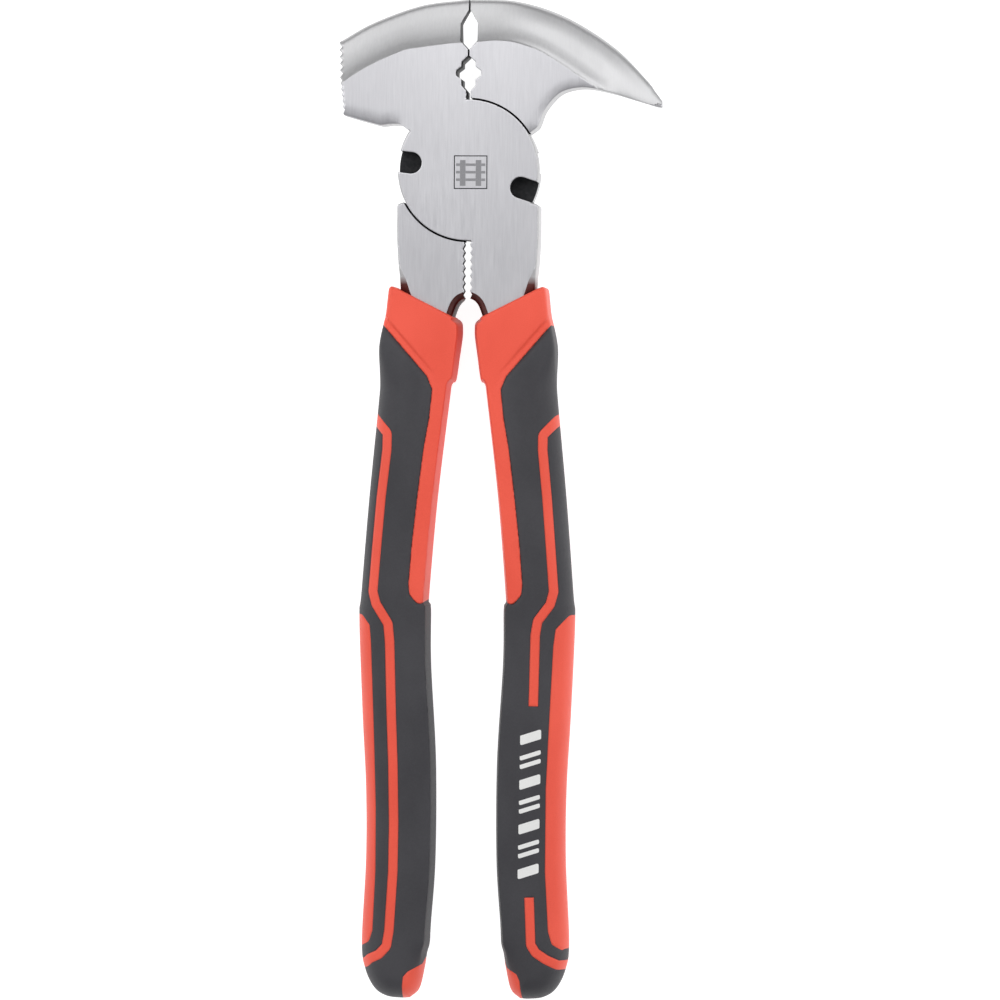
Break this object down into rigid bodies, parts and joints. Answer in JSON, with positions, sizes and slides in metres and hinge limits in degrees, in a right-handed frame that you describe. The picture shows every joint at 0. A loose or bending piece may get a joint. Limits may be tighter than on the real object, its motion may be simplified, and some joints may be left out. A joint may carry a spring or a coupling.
{
  "type": "fencing pliers",
  "caption": "Fencing pliers with a serrated hammer face, a curved pick, wire jaws and rim cutters on a lapped pivot joint, and soft two-colour moulded grips.",
  "frame": {"origin": "on the pivot's axis, at the rear face of the joint", "axes": "+Y towards the head, along the tool; +Z out of the front face, with the tool lying on its back; +X towards the pick"},
  "size_m": [0.0866, 0.2672, 0.0184],
  "materials": {
    "forged_steel": "ground flats with fine straight brush lines, smoother bevels, blackened inner walls",
    "rivet_steel": "ground flush",
    "red_grip": "satin moulded",
    "dark_grip": "fine matte moulded texture"
  },
  "bodies": {
    "rear": {"rear_half": "forged_steel", "left_grip_core": "red_grip", "left_grip_cover": "dark_grip"},
    "front": {"front_half": "forged_steel", "pivot_rivet": "rivet_steel", "right_grip_core": "red_grip", "right_grip_cover": "dark_grip"}
  },
  "joints": [
    {"name": "pivot", "type": "hinge", "parent": "rear", "child": "front", "pos_m": [0, 0, 0], "axis": [0, 0, 1], "range_deg": [0, 50]}
  ]
}
